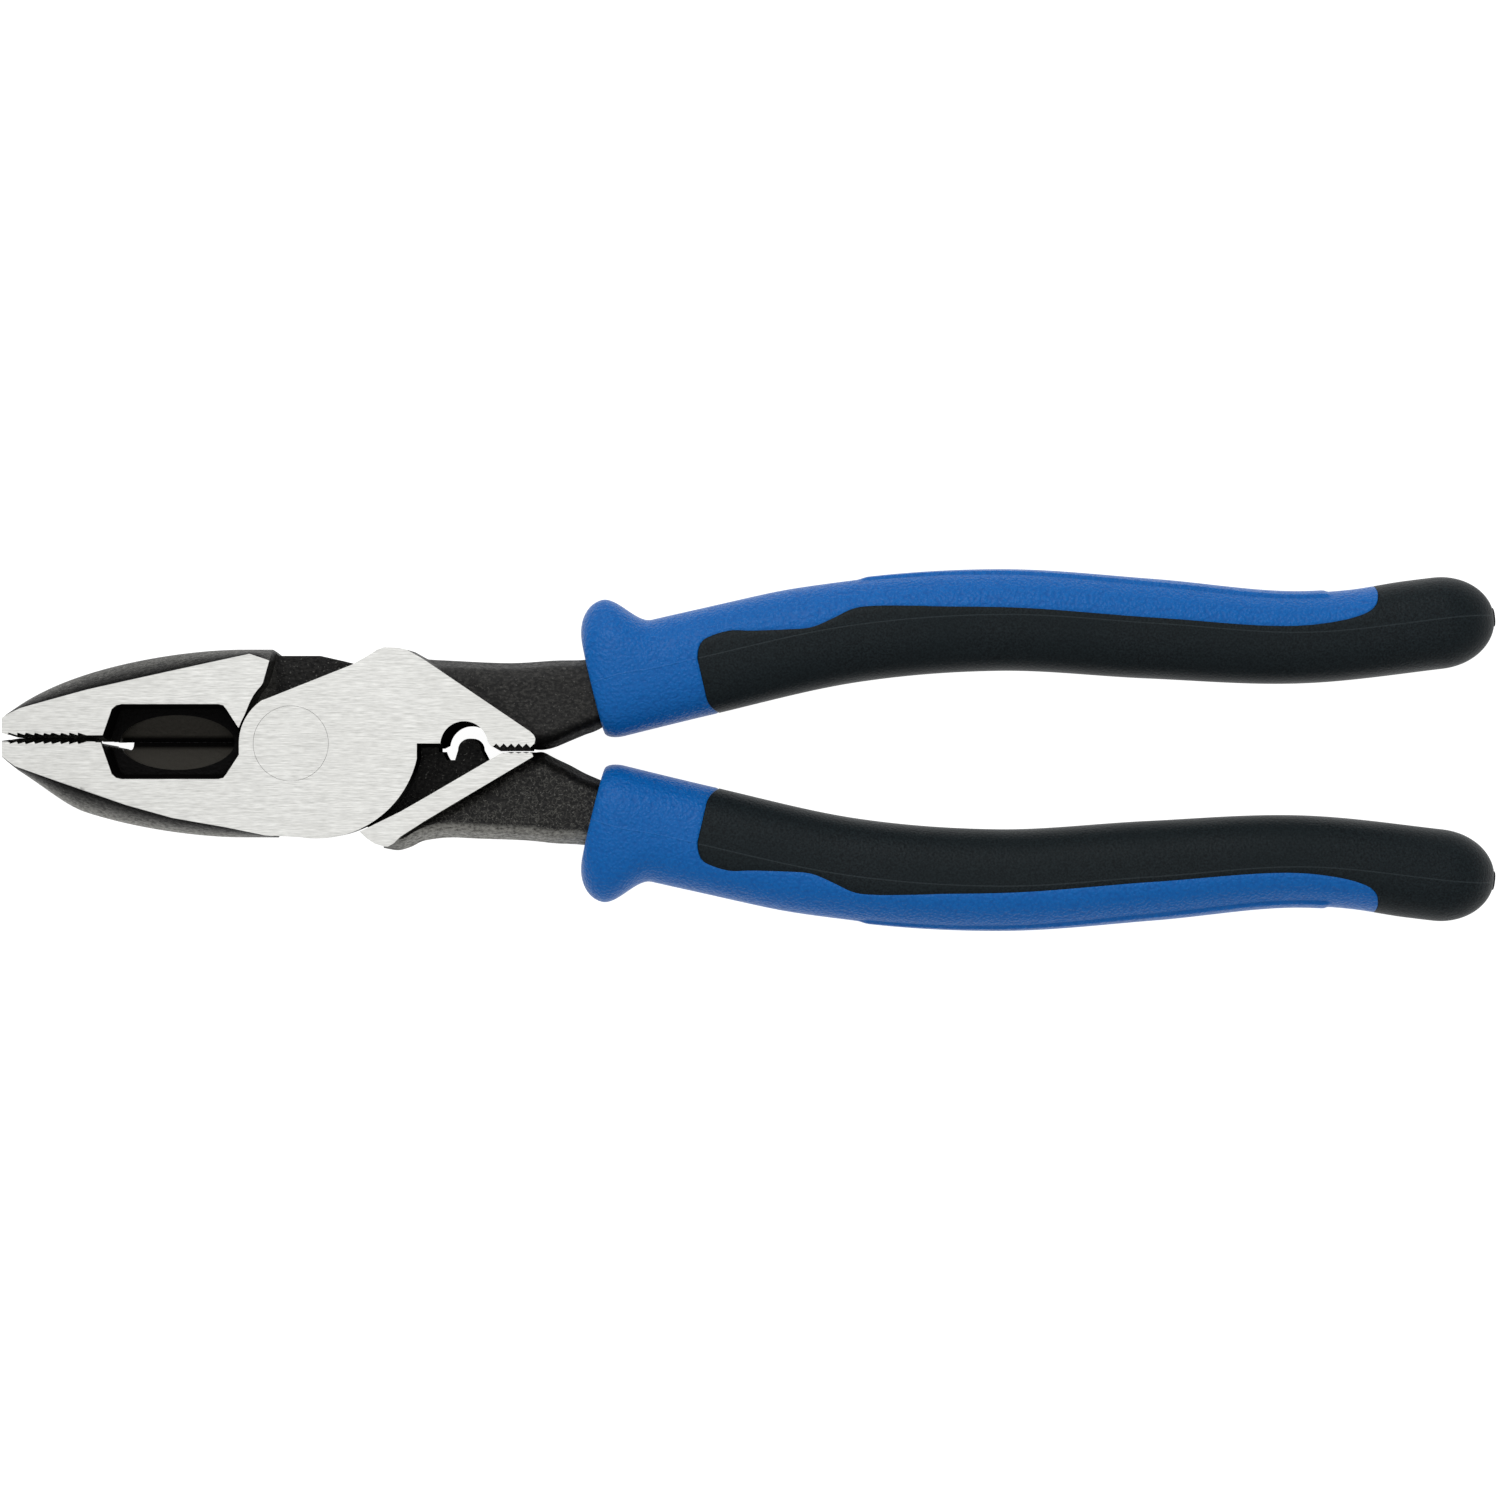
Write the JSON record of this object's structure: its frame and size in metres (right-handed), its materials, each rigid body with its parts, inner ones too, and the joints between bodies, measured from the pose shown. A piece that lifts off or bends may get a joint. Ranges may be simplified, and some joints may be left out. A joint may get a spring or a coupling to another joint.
{
  "type": "lineman pliers",
  "caption": "Side-cutting lineman pliers with serrated jaws, hollow-ground cutters with a tape slot, a crimping nest behind the joint and two-material grips.",
  "frame": {"origin": "where the pivot's axis meets the flat underside of the head", "axes": "+X runs along the handles, -X along the jaws, +Z is the pivot's axis, up out of the front face"},
  "size_m": [0.2405, 0.0586, 0.016],
  "materials": {
    "polished_steel": "ground flat, brushed along the pliers; the forged sides and necks are black oxide",
    "rivet_steel": "ground flush and brushed with the head",
    "black_grip": "satin moulded sleeve",
    "blue_grip": "soft, finely pebbled overmould"
  },
  "bodies": {
    "front_half": {"lower_jaw_half": "polished_steel", "joint_rivet": "rivet_steel", "upper_grip_core": "black_grip", "upper_grip_overmould": "blue_grip"},
    "back_half": {"upper_jaw_half": "polished_steel", "lower_grip_core": "black_grip", "lower_grip_overmould": "blue_grip"}
  },
  "joints": [
    {"name": "pivot", "type": "hinge", "parent": "front_half", "child": "back_half", "pos_m": [0, 0, 0.008], "axis": [0, 0, -1], "range_deg": [0, 40]}
  ]
}
